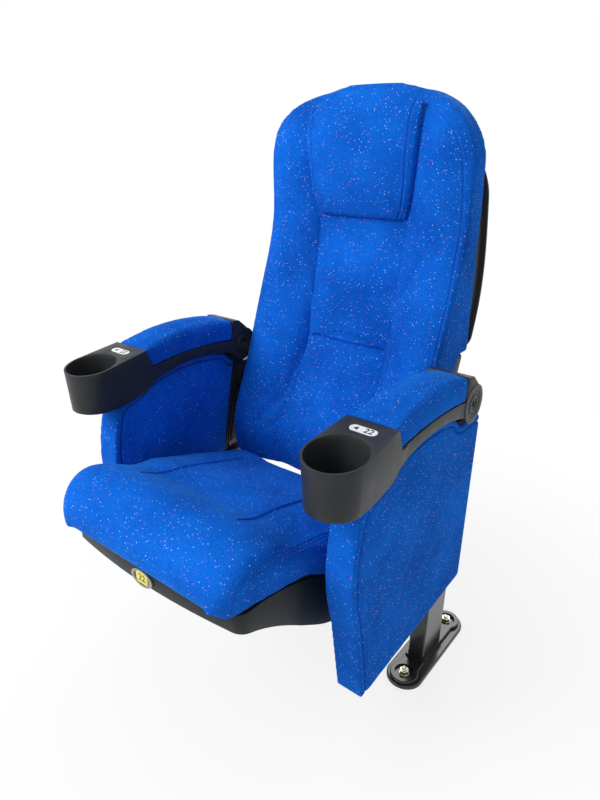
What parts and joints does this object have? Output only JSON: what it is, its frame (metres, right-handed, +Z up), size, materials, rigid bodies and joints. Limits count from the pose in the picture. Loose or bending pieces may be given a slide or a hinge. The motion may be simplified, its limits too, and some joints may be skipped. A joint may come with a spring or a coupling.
{
  "type": "tip up auditorium seat",
  "caption": "Padded tip up auditorium seat on two bolt-down standards, with lifting armrests, cup holders and a head pillow.",
  "frame": {"origin": "on the floor, at the middle of the four anchor holes of the two feet", "axes": "+Z up; the sitter faces -Y; +X is the sitter's left"},
  "size_m": [0.66, 0.7261, 1.1361],
  "materials": {
    "blue_fabric": "short pile with fine specks",
    "black_moulding": "fine texture",
    "black_steel": "gloss paint",
    "bare_steel": "plated",
    "zinc_yellow": "yellow zinc plated",
    "plywood": "raw",
    "nylon": "smooth",
    "rubber": "matt",
    "badge_metal": "satin",
    "badge_yellow": "satin",
    "label_white": "printed"
  },
  "bodies": {
    "standards": {"anchor_nuts": "zinc_yellow", "anchor_washers": "zinc_yellow", "arm_pivot_bushes": "nylon", "back_board": "plywood", "back_bolts": "bare_steel", "back_brackets": "black_steel", "back_cushion": "blue_fabric", "back_frame": "black_steel", "back_shell": "black_moulding", "head_pillow": "blue_fabric", "left_foot_plate": "black_steel", "left_panel_board": "plywood", "left_panel_edge_strip": "blue_fabric", "left_panel_inner_cover": "blue_fabric", "left_panel_outer_cover": "blue_fabric", "left_pivot_head": "black_steel", "left_post": "black_steel", "left_post_trim": "black_moulding", "left_seat_bracket": "black_steel", "lower_back_cover": "black_moulding", "panel_screws": "bare_steel", "right_foot_plate": "black_steel", "right_panel_board": "plywood", "right_panel_edge_strip": "blue_fabric", "right_panel_inner_cover": "blue_fabric", "right_panel_outer_cover": "blue_fabric", "right_pivot_head": "black_steel", "right_post": "black_steel", "right_post_trim": "black_moulding", "right_seat_bracket": "black_steel", "seat_bracket_bolts": "bare_steel", "seat_pivot_pins": "bare_steel", "seat_springs": "bare_steel", "seat_stop_bumpers": "rubber"},
    "seat": {"badge_plate": "badge_yellow", "number_badge": "badge_metal", "pan_screws": "bare_steel", "seat_board": "plywood", "seat_cushion": "blue_fabric", "seat_frame": "black_steel", "seat_hinge_arms": "black_steel", "seat_hinge_bolts": "bare_steel", "seat_pan": "black_moulding", "seat_pivot_bushes": "nylon"},
    "left_armrest": {"left_armrest_caps": "black_moulding", "left_armrest_core": "black_steel", "left_armrest_pad": "blue_fabric", "left_armrest_pad_base": "plywood", "left_armrest_screws": "bare_steel", "left_armrest_shaft": "bare_steel", "left_armrest_shell": "black_moulding", "left_number_plate": "label_white"},
    "right_armrest": {"right_armrest_caps": "black_moulding", "right_armrest_core": "black_steel", "right_armrest_pad": "blue_fabric", "right_armrest_pad_base": "plywood", "right_armrest_screws": "bare_steel", "right_armrest_shaft": "bare_steel", "right_armrest_shell": "black_moulding", "right_number_plate": "label_white"}
  },
  "joints": [
    {"name": "seat_tip", "type": "hinge", "parent": "standards", "child": "seat", "pos_m": [0, -0.13, 0.32], "axis": [-1, 0, 0], "range_deg": [0, 62]},
    {"name": "left_arm_lift", "type": "hinge", "parent": "standards", "child": "left_armrest", "pos_m": [0.28, -0.015, 0.608], "axis": [-1, 0, 0], "range_deg": [0, 90]},
    {"name": "right_arm_lift", "type": "hinge", "parent": "standards", "child": "right_armrest", "pos_m": [-0.28, -0.015, 0.608], "axis": [-1, 0, 0], "range_deg": [0, 90]}
  ]
}
